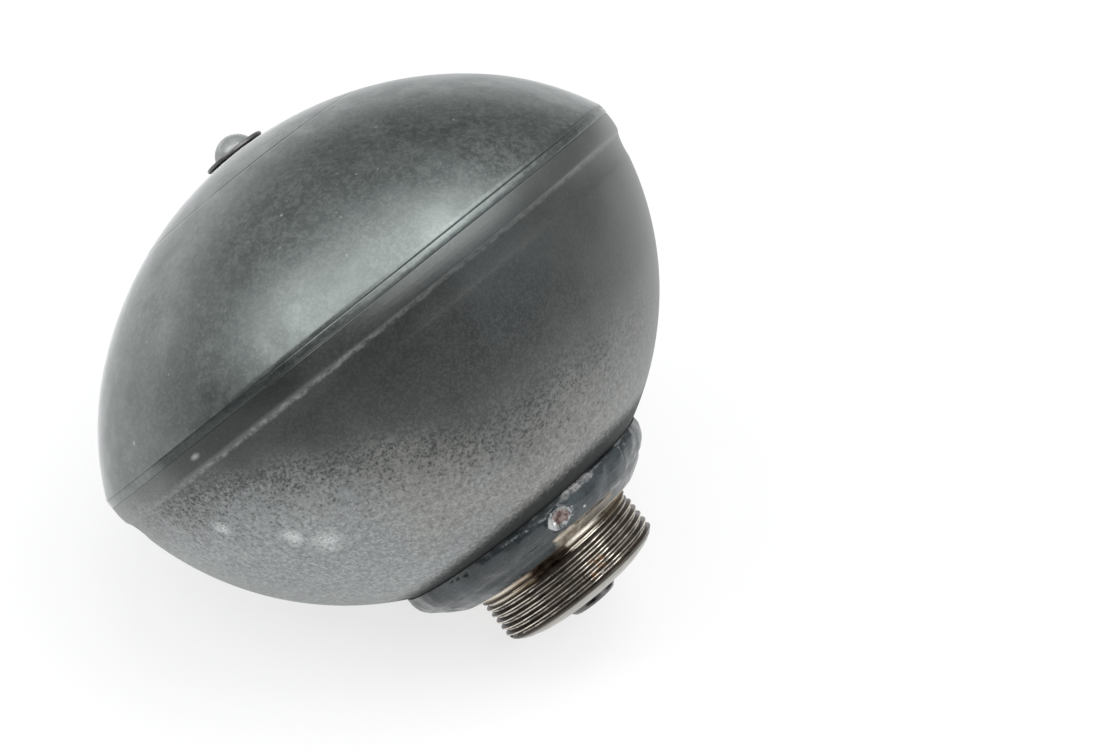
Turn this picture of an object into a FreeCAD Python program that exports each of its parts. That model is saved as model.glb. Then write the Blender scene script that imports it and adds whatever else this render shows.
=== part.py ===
"""Welded gas-spring suspension sphere, lying on its side as it rests on a table.

Every piece is turned about one axis.  Its own drawing has that axis as Z, with the seam plane
between the two shells at zero, the threaded neck on the plus side and the fill plug on the
minus side.  One placement then lays all the pieces down on the neck and the round shell.
"""
import FreeCAD, Part

import math
import os

import Sketcher

# Driving sizes in millimetres.  Each one is written here once and read from the sheet.
SIZES = {
    # Pressed steel shells
    "shell_radius": 59.9,
    "shell_offset": 3.5,
    "shell_wall": 3.5,
    "rim_step": 0.2,
    "rim_wall": 3.1,
    "rim_height": 4.7,
    "flare_end": 9.8,
    "flare_bend": 16.0,
    "cap_step": 10.1,
    "knuckle_width": 14.1,
    "knuckle_drop": 19.0636,
    "seam_depth": 1.1,
    "seam_half": 0.75,
    "seam_crown": 0.2,
    # Diaphragm and the ring that clamps its bead under the seam
    "seat_depth": 7.0,
    "clamp_width": 4.9,
    "clamp_height": 2.6,
    "lip_height": 2.8,
    "lip_wall": 1.2,
    "diaphragm_wall": 2.0,
    "button_lap": 3.5,
    "button_wall": 1.2,
    # Neck with its flange, relief, thread and rounded end
    "thread_radius": 17.5,
    "thread_length": 7.5,
    "spigot_step": 2.5,
    "flange_step": 2.4,
    "flange_height": 6.05,
    "flange_chamfer": 1.4,
    "relief_depth": 0.6,
    "relief_length": 2.4,
    "lead_length": 1.4,
    "lead_drop": 1.4,
    "nose_length": 1.0,
    "nose_drop": 2.7,
    "neck_wall": 6.5,
    "bore_depth": 10.1,
    "bore_shoulder": 2.5,
    "bore_chamfer": 0.6,
    # Weld that joins the neck flange to the shell
    "weld_reach": 5.2,
    "weld_tuck": 0.6,
    "weld_rise": 3.6,
    "weld_round": 3.0,
    "weld_crown": 14.0,
    # Fill plug at the pole
    "plug_shank": 3.1,
    "plug_reach": 1.2,
    "head_lap": 1.05,
    "plug_dome": 3.4,
    "seal_room": 1.8,
    "washer_lap": 1.5,
    "washer_wall": 1.0,
    # Damper valve in the neck
    "damper_wall": 6.0,
    "groove_depth": 1.3,
    "ring_wall": 2.05,
    "ring_height": 2.6,
    "ring_chamfer": 0.5,
    "pin_radius": 2.45,
    "bleed_radius": 0.5,
    "pin_head_lap": 1.45,
    "head_height": 2.0,
    "nut_lap": 2.75,
    "nut_height": 4.6,
    "nut_chamfer": 0.5,
    "nut_recess": 0.8,
    "disc_wall": 0.3,
    "disc_lap": 0.6,
    "spacer_lap": 1.55,
    "spacer_wall": 1.0,
    "port_radius": 0.85,
    "port_count": 5,
    # Clearances
    "slip_gap": 0.1,
    "port_gap": 0.05,
    "disc_gap": 0.15,
    "fit_gap": 0.05,
    "bond_gap": 0.1,
    "wall_gap": 0.2,
}

DISCS_PER_STACK = 3

doc = FreeCAD.newDocument("suspension_sphere")
sheet = doc.addObject("Spreadsheet::Sheet", "Sizes")
for row, (alias, number) in enumerate(SIZES.items(), start=1):
    sheet.set(f"A{row}", alias.replace("_", " "))
    sheet.set(f"B{row}", str(number))
    sheet.setAlias(f"B{row}", alias)
doc.recompute()


class Size:
    """A length: its value now, and the text that the document works it out from."""

    def __init__(self, text, value):
        self.text = text
        self.value = value

    def __add__(self, other):
        return joined(self, "+", other, self.value + value_of(other))

    def __sub__(self, other):
        return joined(self, "-", other, self.value - value_of(other))

    def __mul__(self, other):
        return joined(self, "*", other, self.value * value_of(other))

    def __truediv__(self, other):
        return joined(self, "/", other, self.value / value_of(other))

    def __neg__(self):
        return Size(f"(0 - {self.text})", -self.value)


def text_of(thing):
    return thing.text if isinstance(thing, Size) else str(thing)


def value_of(thing):
    return thing.value if isinstance(thing, Size) else thing


def joined(left, sign, right, value):
    return Size(f"({text_of(left)} {sign} {text_of(right)})", value)


def root(square):
    return Size(f"sqrt({square.text})", math.sqrt(square.value))


def leg(slope, side):
    """The other short side of a right triangle."""
    return root(slope * slope - side * side)


class Sheet:
    """Reads the cells of the sheet by their alias."""

    def __getattr__(self, alias):
        return Size(f"Sizes.{alias}", float(sheet.get(alias)))


size = Sheet()


class Arc:
    """An edge of an outline that bends to its end point; turn is 1 when it runs anticlockwise."""

    def __init__(self, end, radius, turn):
        self.end = end
        self.radius = radius
        self.turn = turn


def arc_edge(start, end, radius, turn):
    """The short arc from start to end, found by its radius."""
    chord = end - start
    middle = (start + end) * 0.5
    across = FreeCAD.Vector(-chord.y, chord.x, 0).normalize() * turn
    rise = math.sqrt(radius ** 2 - (chord.Length / 2) ** 2)
    centre = middle + across * rise
    first = math.atan2(start.y - centre.y, start.x - centre.x)
    last = math.atan2(end.y - centre.y, end.x - centre.x)
    if turn < 0:
        first, last = last, first
    circle = Part.Circle(centre, FreeCAD.Vector(0, 0, 1), radius)
    return Part.ArcOfCircle(circle, first, last)


def origin_feature(body, role):
    return next(item for item in body.Origin.OriginFeatures if item.Role == role)


def pin_point(sketch, edge, end, radius, height):
    """Fix one end of an edge at a radius and a height."""
    for kind, axis, along in (("DistanceX", -2, radius), ("DistanceY", -1, height)):
        if isinstance(along, Size):
            rule = Sketcher.Constraint(kind, edge, end, along.value)
            number = sketch.addConstraint(rule)
            sketch.setExpression(f"Constraints[{number}]", along.text)
        else:
            sketch.addConstraint(Sketcher.Constraint("PointOnObject", edge, end, axis))


def half_section(body, outline):
    """A closed sketch of half the section; each item is a (radius, height) corner or an Arc."""
    sketch = body.newObject("Sketcher::SketchObject", body.Label + "_section")
    sketch.AttachmentSupport = (origin_feature(body, "XZ_Plane"), [""])
    sketch.MapMode = "FlatFace"
    corners = [item.end if isinstance(item, Arc) else item for item in outline]
    points = [FreeCAD.Vector(value_of(r), value_of(z), 0) for r, z in corners]
    starts = []
    for index, item in enumerate(outline):
        start = points[index - 1]
        if isinstance(item, Arc):
            edge = arc_edge(start, points[index], item.radius.value, item.turn)
            starts.append(1 if item.turn > 0 else 2)
        else:
            edge = Part.LineSegment(start, points[index])
            starts.append(1)
        sketch.addGeometry(edge)
    for index, item in enumerate(outline):
        after = (index + 1) % len(outline)
        ends = 3 - starts[index]
        join = Sketcher.Constraint("Coincident", index, ends, after, starts[after])
        sketch.addConstraint(join)
        pin_point(sketch, index, ends, *corners[index])
        if isinstance(item, Arc):
            rule = Sketcher.Constraint("Radius", index, item.radius.value)
            number = sketch.addConstraint(rule)
            sketch.setExpression(f"Constraints[{number}]", item.radius.text)
    return sketch


pieces = []


def turned(label, outline):
    """A body turned from half a section about the common axis."""
    body = doc.addObject("PartDesign::Body", label)
    body.Label = label
    section = half_section(body, outline)
    turn = body.newObject("PartDesign::Revolution", label + "_turn")
    turn.Profile = section
    turn.ReferenceAxis = (section, ["V_Axis"])
    turn.Angle = 360
    pieces.append(body)
    return body


def o_ring(label, ring_radius, cord_radius, height):
    """A round rubber cord bent into a ring."""
    body = doc.addObject("PartDesign::Body", label)
    body.Label = label
    ring = body.newObject("PartDesign::AdditiveTorus", label + "_ring")
    ring.setExpression("Radius1", ring_radius.text)
    ring.setExpression("Radius2", cord_radius.text)
    ring.setExpression("Placement.Base.z", height.text)
    pieces.append(body)
    return body


# Heights and radii that several pieces share
shell_centre = -size.shell_offset
inside_radius = size.shell_radius - size.shell_wall
rim_radius = size.shell_radius + size.rim_step
seat_radius = rim_radius - size.rim_wall
spigot_radius = size.thread_radius + size.spigot_step
flange_radius = spigot_radius + size.flange_step
bore_radius = size.thread_radius - size.neck_wall
passage_radius = bore_radius - size.bore_shoulder
hole_radius = spigot_radius + size.slip_gap
neck_seat = shell_centre + leg(size.shell_radius, flange_radius)
flange_face = neck_seat + size.flange_height
thread_start = flange_face + size.relief_length
thread_end = thread_start + size.thread_length
lead_end = thread_end + size.lead_length
neck_end = lead_end + size.nose_length
bore_floor = neck_end - size.bore_depth
damper_face = bore_floor + size.damper_wall
cap_radius = size.shell_radius + size.cap_step
cap_edge = rim_radius - size.knuckle_width
cap_rim = -size.seam_half - size.knuckle_drop
cap_centre = cap_rim + leg(cap_radius, cap_edge)
seal_seat = size.plug_shank + size.seal_room
washer_seat = cap_centre - leg(cap_radius, seal_seat)
plug_hole = size.plug_shank + size.slip_gap
clamp_rim = seat_radius - size.slip_gap
clamp_inner = clamp_rim - size.clamp_width
lip_rim = clamp_inner + size.lip_wall
port_open = passage_radius - size.port_radius - size.port_gap
pin_hole = size.pin_radius + size.fit_gap
port_covered = (pin_hole + port_open) / 2 - size.port_gap
disc_radius = port_open - size.port_radius - size.disc_gap
spacer_radius = size.pin_radius + size.spacer_lap
disc_step = (disc_radius - spacer_radius - size.disc_lap) / (DISCS_PER_STACK - 1)


def gas_shell():
    """The flatter upper dome: a wide cap that runs into a tighter knuckle at the seam."""
    depth = leg(cap_radius, cap_edge)
    reach = size.knuckle_width
    drop = size.knuckle_drop
    sideways = (depth * drop - cap_edge * reach) / cap_radius
    knuckle = (reach * reach + drop * drop) / (sideways * 2)
    knuckle_radius = cap_edge - cap_edge * knuckle / cap_radius
    knuckle_height = cap_rim + depth * knuckle / cap_radius
    inner_cap = cap_radius - size.shell_wall
    inner_knuckle = knuckle - size.shell_wall
    share = inner_cap / cap_radius
    inner_rim = knuckle_radius + leg(inner_knuckle, knuckle_height)
    seat_floor = washer_seat + size.seal_room
    return turned("gas_shell", [
        (plug_hole, seat_floor),
        (seal_seat, seat_floor),
        (seal_seat, washer_seat),
        Arc((cap_edge, cap_rim), cap_radius, 1),
        Arc((rim_radius, -size.seam_half), knuckle, 1),
        (rim_radius - size.seam_depth, 0),
        (inner_rim, 0),
        Arc((cap_edge * share, cap_centre - depth * share), inner_knuckle, -1),
        Arc((plug_hole, cap_centre - leg(inner_cap, plug_hole)), inner_cap, -1),
    ])


def fluid_shell():
    """The round lower shell with a thickened rim that flares in below the seam."""
    flare_radius = leg(size.shell_radius, size.flare_end + size.shell_offset)
    shoulder = leg(inside_radius, size.seat_depth + size.shell_offset)
    return turned("fluid_shell", [
        (seat_radius, 0),
        (rim_radius - size.seam_depth, 0),
        (rim_radius, size.seam_half),
        (rim_radius, size.rim_height),
        Arc((flare_radius, size.flare_end), size.flare_bend, -1),
        Arc((flange_radius, neck_seat), size.shell_radius, 1),
        (hole_radius, neck_seat),
        (hole_radius, shell_centre + leg(inside_radius, hole_radius)),
        Arc((shoulder, size.seat_depth), inside_radius, -1),
        (seat_radius, size.seat_depth),
    ])


def seam_weld():
    """The weld that fills the groove between the two rims and stands a little proud."""
    crown = (size.seam_half * size.seam_half + size.seam_crown * size.seam_crown)
    return turned("seam_weld", [
        (rim_radius - size.seam_depth, 0),
        (rim_radius, -size.seam_half),
        Arc((rim_radius, size.seam_half), crown / (size.seam_crown * 2), 1),
    ])


def clamp_ring():
    """The steel ring under the seam whose lip holds the bead of the diaphragm outward."""
    lip_foot = size.clamp_height + size.lip_height
    return turned("clamp_ring", [
        (clamp_inner, 0),
        (clamp_rim, 0),
        (clamp_rim, size.clamp_height),
        (lip_rim, size.clamp_height),
        (lip_rim, lip_foot),
        (clamp_inner, lip_foot),
    ])


def diaphragm():
    """The rubber skin pressed against the fluid shell, with a bead at its edge."""
    outer = inside_radius - size.wall_gap
    inner = outer - size.diaphragm_wall
    pocket = outer - size.button_wall - size.bond_gap
    pocket_edge = passage_radius + size.button_lap + size.bond_gap
    bead_inner = lip_rim + size.bond_gap
    bead_foot = shell_centre + leg(inner, bead_inner)
    return turned("diaphragm", [
        Arc((0, shell_centre + inner), inner, 1),
        (0, shell_centre + pocket),
        Arc((pocket_edge, shell_centre + leg(pocket, pocket_edge)), pocket, -1),
        (pocket_edge, shell_centre + leg(outer, pocket_edge)),
        Arc((leg(outer, size.seat_depth + size.shell_offset), size.seat_depth), outer, -1),
        (clamp_rim, size.seat_depth),
        (clamp_rim, size.clamp_height),
        (bead_inner, size.clamp_height),
        (bead_inner, bead_foot),
    ])


def diaphragm_button():
    """The dished metal disc that keeps the rubber out of the neck passage."""
    outer = inside_radius - size.wall_gap
    inner = outer - size.button_wall
    edge = passage_radius + size.button_lap
    return turned("diaphragm_button", [
        Arc((0, shell_centre + inner), inner, 1),
        (0, shell_centre + outer),
        Arc((edge, shell_centre + leg(outer, edge)), outer, -1),
        (edge, shell_centre + leg(inner, edge)),
    ])


def neck_fitting():
    """The turned neck: spigot, flange, relief, thread blank, lead-in and stepped bore."""
    chamfer = size.bore_chamfer
    relief_radius = size.thread_radius - size.relief_depth
    lead_radius = size.thread_radius - size.lead_drop
    return turned("neck_fitting", [
        Arc((spigot_radius, shell_centre + leg(inside_radius, spigot_radius)), inside_radius, -1),
        (spigot_radius, neck_seat),
        (flange_radius, neck_seat),
        (flange_radius, flange_face - size.flange_chamfer),
        (flange_radius - size.flange_chamfer, flange_face),
        (relief_radius, flange_face),
        (relief_radius, thread_start),
        (size.thread_radius, thread_start),
        (size.thread_radius, thread_end),
        (lead_radius, lead_end),
        (lead_radius - size.nose_drop, neck_end),
        (bore_radius + chamfer, neck_end),
        (bore_radius, neck_end - chamfer),
        (bore_radius, bore_floor),
        (passage_radius, bore_floor),
        (passage_radius, shell_centre + leg(inside_radius, passage_radius)),
    ])


def neck_weld():
    """The thick weld between the flange and the shell, rounded like a collar."""
    toe_radius = flange_radius + size.weld_reach
    toe_height = shell_centre + leg(size.shell_radius, toe_radius)
    shoulder_height = toe_height + size.weld_rise
    return turned("neck_weld", [
        (flange_radius, neck_seat),
        Arc((toe_radius, toe_height), size.shell_radius, -1),
        Arc((toe_radius - size.weld_tuck, shoulder_height), size.weld_round, 1),
        Arc((flange_radius, flange_face - size.flange_chamfer), size.weld_crown, 1),
    ])


def fill_plug():
    """The plug at the pole: a shank through the shell under a round head."""
    head_foot = washer_seat - size.washer_wall
    head_radius = size.plug_shank + size.head_lap
    dome = size.plug_dome
    dome_radius = (head_radius * head_radius + dome * dome) / (dome * 2)
    shank_end = cap_centre - cap_radius + size.shell_wall + size.plug_reach
    return turned("fill_plug", [
        (0, head_foot - dome),
        Arc((head_radius, head_foot), dome_radius, 1),
        (size.plug_shank, head_foot),
        (size.plug_shank, shank_end),
        (0, shank_end),
    ])


def fill_plug_washer():
    """The thin flat washer under the head of the plug."""
    top = washer_seat - size.washer_wall
    edge = seal_seat + size.washer_lap
    return turned("fill_plug_washer", [
        (plug_hole, top),
        (edge, top),
        (edge, washer_seat),
        (plug_hole, washer_seat),
    ])


def fill_plug_seal():
    """The rubber ring in the recess between the shank and the shell."""
    middle = size.seal_room / 2
    cord = middle - size.fit_gap
    return o_ring("fill_plug_seal", size.plug_shank + middle, cord, washer_seat + middle)


def slanted_port(body, name, side, first_radius, last_radius):
    """A drilled port that leans from one radius to another through the valve body."""
    lean = (last_radius - first_radius) / size.damper_wall
    ends = size.port_radius * 2
    start_radius = first_radius - lean * ends
    port = body.newObject("PartDesign::SubtractiveCylinder", name)
    axis = FreeCAD.Vector(0, side, 0)
    port.Placement = FreeCAD.Placement(FreeCAD.Vector(), FreeCAD.Rotation(axis, 30))
    port.setExpression("Radius", size.port_radius.text)
    length = (size.damper_wall + ends * 2) * root(lean * lean + 1)
    port.setExpression("Height", length.text)
    port.setExpression("Placement.Base.x", (start_radius * side).text)
    port.setExpression("Placement.Base.z", (bore_floor - ends).text)
    port.setExpression("Placement.Rotation.Angle", f"atan({lean.text})")
    ring = body.newObject("PartDesign::PolarPattern", name + "_ring")
    ring.Originals = [port]
    ring.Axis = (origin_feature(body, "Z_Axis"), [""])
    ring.Angle = 360
    ring.setExpression("Occurrences", size.port_count.text)
    body.Tip = ring


def damper_body():
    """The valve body: a thick disc with a seal groove and two rings of leaning ports."""
    rim = bore_radius - size.fit_gap
    groove = rim - size.groove_depth
    middle = bore_floor + size.damper_wall / 2
    half_groove = size.groove_depth / 2 + size.fit_gap
    body = turned("damper_body", [
        (pin_hole, bore_floor),
        (rim, bore_floor),
        (rim, middle - half_groove),
        (groove, middle - half_groove),
        (groove, middle + half_groove),
        (rim, middle + half_groove),
        (rim, damper_face),
        (pin_hole, damper_face),
    ])
    slanted_port(body, "bump_port", 1, port_covered, port_open)
    slanted_port(body, "rebound_port", -1, port_open, port_covered)
    return body


def damper_seal():
    """The rubber ring in the groove of the valve body."""
    cord = size.groove_depth / 2
    groove = bore_radius - size.fit_gap - size.groove_depth
    middle = bore_floor + size.damper_wall / 2
    return o_ring("damper_seal", groove + cord, cord, middle)


def damper_ring():
    """The ring pressed into the bore that holds the valve body on its shoulder."""
    rim = bore_radius - size.fit_gap
    hole = rim - size.ring_wall
    end = damper_face + size.ring_height
    return turned("damper_ring", [
        (hole, damper_face),
        (rim, damper_face),
        (rim, end),
        (hole + size.ring_chamfer, end),
        (hole, end - size.ring_chamfer),
    ])


def flat_ring(label, outer_radius, low, high):
    """A flat washer or disc on the damper pin."""
    return turned(label, [
        (pin_hole, low),
        (outer_radius, low),
        (outer_radius, high),
        (pin_hole, high),
    ])


def valve_stack(name, face, way):
    """Spring discs that get smaller away from the valve body, and a spacer behind them."""
    low = face
    for number in range(DISCS_PER_STACK):
        high = low + size.disc_wall * way
        radius = disc_radius - disc_step * number
        flat_ring(f"{name}_disc_{number + 1}", radius, low, high)
        low = high
    flat_ring(f"{name}_spacer", spacer_radius, low, low + size.spacer_wall * way)


stack_height = size.disc_wall * DISCS_PER_STACK + size.spacer_wall


def damper_pin():
    """The pin that holds both stacks, drilled through for the bleed."""
    head_foot = bore_floor - stack_height
    head_top = head_foot - size.head_height
    head_radius = size.pin_radius + size.pin_head_lap
    nut_end = damper_face + stack_height + size.nut_height
    pin_end = nut_end - size.nut_recess
    return turned("damper_pin", [
        (size.bleed_radius, head_top),
        (head_radius, head_top),
        (head_radius, head_foot),
        (size.pin_radius, head_foot),
        (size.pin_radius, pin_end),
        (size.bleed_radius, pin_end),
    ])


def damper_nut():
    """The round nut that shows as a low boss beyond the end of the neck."""
    rim = size.pin_radius + size.nut_lap
    foot = damper_face + stack_height
    end = foot + size.nut_height
    return turned("damper_nut", [
        (pin_hole, foot),
        (rim, foot),
        (rim, end - size.nut_chamfer),
        (rim - size.nut_chamfer, end),
        (pin_hole, end),
    ])


gas_shell()
fluid_shell()
seam_weld()
clamp_ring()
diaphragm()
diaphragm_button()
neck_fitting()
neck_weld()
fill_plug()
fill_plug_washer()
fill_plug_seal()
damper_body()
damper_seal()
damper_ring()
valve_stack("bump", bore_floor, -1)
valve_stack("rebound", damper_face, 1)
damper_pin()
damper_nut()

# The lying pose: the round shell and the end of the thread both touch the table.  The slope
# of the axis follows from the shell's radius and the corner that touches.
corner = thread_end + size.shell_offset
corner_reach = root(corner * corner + size.thread_radius * size.thread_radius)
lean_text = (
    f"asin({(size.shell_radius / corner_reach).text})"
    f" - atan({(size.thread_radius / corner).text})"
)
lean = math.asin(size.shell_radius.value / corner_reach.value)
lean -= math.atan(size.thread_radius.value / corner.value)
lying = doc.addObject("App::Placement", "Lying")
lying.Placement.Rotation = FreeCAD.Rotation(FreeCAD.Vector(0, 1, 0), 90)
lying.setExpression("Placement.Rotation.Angle", f"90 deg + {lean_text}")
rise_text = f"{size.shell_radius.text} - {size.shell_offset.text} * sin({lean_text})"
lying.setExpression("Placement.Base.z", rise_text)
far_text = f"{thread_end.text} * cos({lean_text}) + {size.thread_radius.text} * sin({lean_text})"
near_text = f"{cap_centre.text} * cos({lean_text}) - {cap_radius.text}"
lying.setExpression("Placement.Base.x", f"0 - ({far_text} + {near_text}) / 2")
doc.recompute()

for piece in pieces:
    piece.setExpression("Placement", "Lying.Placement")
doc.recompute()

for item in doc.Objects:
    if "Invalid" in item.State or "Error" in item.State:
        raise RuntimeError(f"{item.Name} did not build: {item.State}")
for piece in pieces:
    if piece.Shape.isNull() or not piece.Shape.isValid():
        raise RuntimeError(f"{piece.Label} has no valid shape")
    if len(piece.Shape.Solids) != 1:
        raise RuntimeError(f"{piece.Label} has {len(piece.Shape.Solids)} solids")

os.makedirs("parts", exist_ok=True)
for piece in pieces:
    piece.Shape.exportStep(f"parts/{piece.Label}.step")
    low = piece.Shape.optimalBoundingBox()
    print(f"{piece.Label}: {piece.Shape.Volume:.1f} mm3, X {low.XMin:.2f} to {low.XMax:.2f},"
          f" Z {low.ZMin:.2f} to {low.ZMax:.2f}")
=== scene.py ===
"""Suspension sphere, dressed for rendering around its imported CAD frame."""
import math

import bmesh
import bpy
import numpy as np
from mathutils import Matrix, Vector, noise


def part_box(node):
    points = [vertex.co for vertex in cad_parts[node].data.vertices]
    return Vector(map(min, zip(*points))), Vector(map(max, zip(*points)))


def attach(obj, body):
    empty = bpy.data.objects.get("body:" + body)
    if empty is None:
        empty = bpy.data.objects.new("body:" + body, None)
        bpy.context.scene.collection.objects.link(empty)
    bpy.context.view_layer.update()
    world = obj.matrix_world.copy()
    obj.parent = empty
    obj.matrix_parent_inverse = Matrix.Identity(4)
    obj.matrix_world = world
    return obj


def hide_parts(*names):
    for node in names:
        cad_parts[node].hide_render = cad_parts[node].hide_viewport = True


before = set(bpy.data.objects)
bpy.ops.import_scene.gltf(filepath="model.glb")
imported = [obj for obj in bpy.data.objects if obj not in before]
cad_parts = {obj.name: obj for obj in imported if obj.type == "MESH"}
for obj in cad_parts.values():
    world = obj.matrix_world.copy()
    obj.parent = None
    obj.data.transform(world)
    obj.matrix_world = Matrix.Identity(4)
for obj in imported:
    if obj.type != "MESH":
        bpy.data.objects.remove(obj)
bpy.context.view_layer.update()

MM = 0.001
TURN = 2 * math.pi


def middle(node):
    low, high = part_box(node)
    return (low + high) / 2


# The common axis of the turned pieces, read from two rings of the frame.  Meshes are written in
# millimetres about it: Z along the axis from the seam to the neck, X down, Y across.  Angles about
# it are in degrees from the underside, so 180 is the top, and the camera faces about 220.
seam_centre = middle("seam_weld")
axis = (middle("damper_seal") - seam_centre).normalized()
side = Vector((0, 1, 0))
lying = Matrix((side.cross(axis), side, axis)).transposed().to_4x4()
lying.translation = seam_centre

# Sizes in millimetres, as in the part's source: radii, heights from the seam, and places that
# are a radius and a height
SHELL_RADIUS = 59.9
SHELL_CENTRE = -3.5
SHELL_WALL = 3.5
INSIDE_RADIUS = 56.4
RIM = 60.1
SEAM_FLOOR = (59.0, 0)
SEAT_RADIUS = 57.0
SEAT_DEPTH = 7.0
FLARE = (58.405, 9.8)
FLARE_BEND = 16.0
CAP_RADIUS = 70.0
CAP_CENTRE = 32.95
CAP_EDGE = (46.0, -19.8136)
CAP_RISE = 52.7636
KNUCKLE = 55.065
GAS_INSIDE = (56.9, 0)
PLUG_BORE = (3.2, -33.474)
SEAL_BORE = (4.9, -35.078)
WASHER_SEAT = -36.878
FLANGE = 22.4
FLANGE_EDGE = 56.7
NECK_SEAT = 52.054
NECK_HOLE = 20.1
SPIGOT = 20.0
RELIEF = 16.9
RELIEF_START = 58.104
THREAD_START = 60.504
THREAD_END = 68.004
LEAD_END = 69.404
NECK_END = 70.404
THREAD_RADIUS = 17.5
PITCH = 1.5
BORE = (11.0, 60.304)
INNER_BORE = (8.5, 52.257)

# Sizes in millimetres that only the render shows
PRESS_RING = 26.1
PRESS_RING_ROOM = 1.2
SEAM_LINE = 0.76
SEAM_LINE_ROOM = 0.13
SEAM_FILL = 0.08
BAND_END = 5.05
THREAD_DEPTH = 0.92
EARLY_THREAD = 1.2
RUN_IN = 1.3
RUN_OUT = 1.0
PLUG_REACH = 4.1
PLUG_CROWN = 2.9
PLUG_SHANK = (3.1, -32.4)

# How far up its knuckle the gas shell's inside bends, against the outside, and the parts of half a
# turn that the thread's flat and flank take
INNER_SHARE = 0.95
FLAT_SHARE = 0.12
FLANK_SHARE = 0.74

# Where paint starts to close the seam lines, in degrees
FILLED_SIDE = 230

# The rounded edge of both rims, from the seam's floor outwards: radii and heights
EDGE = (SEAM_FLOOR, (59.2, 0.2), (RIM - 0.13, SEAM_LINE), (RIM - 0.03, 0.88), (RIM, 1.05))

# The rim band of the lower shell, from that edge to its ridge: offsets from RIM, and heights
BAND = ((0.02, 1.7), (0.01, 2.5), (-0.05, 3.3), (-0.13, 3.9), (-0.22, 4.4), (-0.34, 4.75),
        (-0.52, 5.05), (-0.72, 5.4))

# Half of the crowned weld strip, from an edge to its middle: radii and heights
STRIP = ((59.90, 0.79), (60.01, 0.70), (60.07, 0.58), (60.12, 0.3))
STRIP_CROWN = (60.14, 0)

# The rounded outside of the collar weld, from the shell to the neck: radii and heights; then its
# reach on the shell and the height of its inner edge
COLLAR = ((28.0, 49.62), (28.25, 50.1), (28.25, 51.0), (28.05, 51.9), (27.65, 52.8), (27.05, 53.7),
          (26.2, 54.6), (25.1, 55.4), (24.1, 56.1), (23.3, 56.65), (22.5, 57.15), (21.8, 57.6),
          (21.2, 57.95), (20.6, 58.1), (20.5, 57.95))
COLLAR_REACH = 27.5
COLLAR_FOOT = 56.55

# Forms on that weld: angles in degrees, millimetres of arc for each degree, and heights; a notch
# is an angle, a height and a reach
OVERLAP_ANGLE = 169.0
CHIP_ANGLE = 208.0
CHIP_ARC = 0.4712
CHIP_HEIGHT = 53.1
CHIP_SQUASH = 1.35
DRIP_ANGLE = 277.0
DRIP_ARC = 0.45
NOTCHES = ((251.0, 50.5, 0.65), (255.5, 50.1, 0.5), (259.0, 49.9, 0.5))
NOTCH_ARC = 0.48

# The washer's rounded section: radii, and heights from its outer face
WASHER = ((3.25, 0), (5.9, 0.02), (6.25, 0.12), (6.38, 0.35), (6.38, 0.62), (6.2, 0.8), (5.6, 0.85),
          (3.25, 0.9), (3.25, 0))
WASHER_WALL = 0.95

# Spacing of a mesh's points in view, on a rim's edge and out of sight
SKIN_STEP = 0.75
EDGE_STEP = 0.2
HIDDEN_STEP = 2.5


# Outlines and turned meshes

class Bend:
    """A circular run to its end point; turn is 1 when it runs anticlockwise."""

    def __init__(self, end, radius, turn=1):
        self.end = end
        self.radius = radius
        self.turn = turn


def sphere_height(radius, reach, centre):
    """Where the upper half of a sphere on the axis has a reach."""
    return centre + math.sqrt(radius * radius - reach * reach)


def outline(items, step):
    """Points about step apart along a run of (radius, height) corners and Bends."""
    points = [np.array(items[0], float)]
    for item in items[1:]:
        start = points[-1]
        end = np.array(item.end if isinstance(item, Bend) else item, float)
        chord = end - start
        length = np.linalg.norm(chord)
        count = max(1, round(length / step))
        share = np.linspace(0, 1, count + 1)[1:, None]
        if isinstance(item, Bend):
            across = np.array((-chord[1], chord[0])) / length * item.turn
            centre = (start + end) / 2 + across * math.sqrt(item.radius ** 2 - length ** 2 / 4)
            first = math.atan2(*(start - centre)[::-1])
            swept = 2 * math.asin(length / 2 / item.radius) * item.turn
            angle = first + swept * share
            points.extend(centre + item.radius * np.hstack((np.cos(angle), np.sin(angle))))
        else:
            points.extend(start + chord * share)
    return np.array(points)


def joined(*runs):
    """Several outlines in a row, without the points that repeat."""
    points = np.vstack(runs)
    keep = np.r_[True, np.linalg.norm(np.diff(points, axis=0), axis=1) > 1e-6]
    return points[keep]


def smooth_step(low, high, value):
    share = np.clip((value - low) / (high - low), 0, 1)
    return share * share * (3 - 2 * share)


def hill(value, width):
    """A smooth hill, one at zero and nearly nothing at twice its width."""
    return np.exp(-(value / width) ** 2)


def around(phi, angle):
    """Degrees from an angle about the axis, from -180 to 180."""
    return (np.degrees(phi) - angle + 180) % 360 - 180


def bumps(r, z, phi, size, seed):
    """Smooth random heights from -1 to 1, about size millimetres across."""
    x = r * np.cos(phi) / size + seed * 17.3
    y = r * np.sin(phi) / size
    heights = [noise.noise(Vector(p)) for p in zip(x.ravel(), y.ravel(), (z / size).ravel())]
    return np.array(heights).reshape(np.shape(z))


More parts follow.
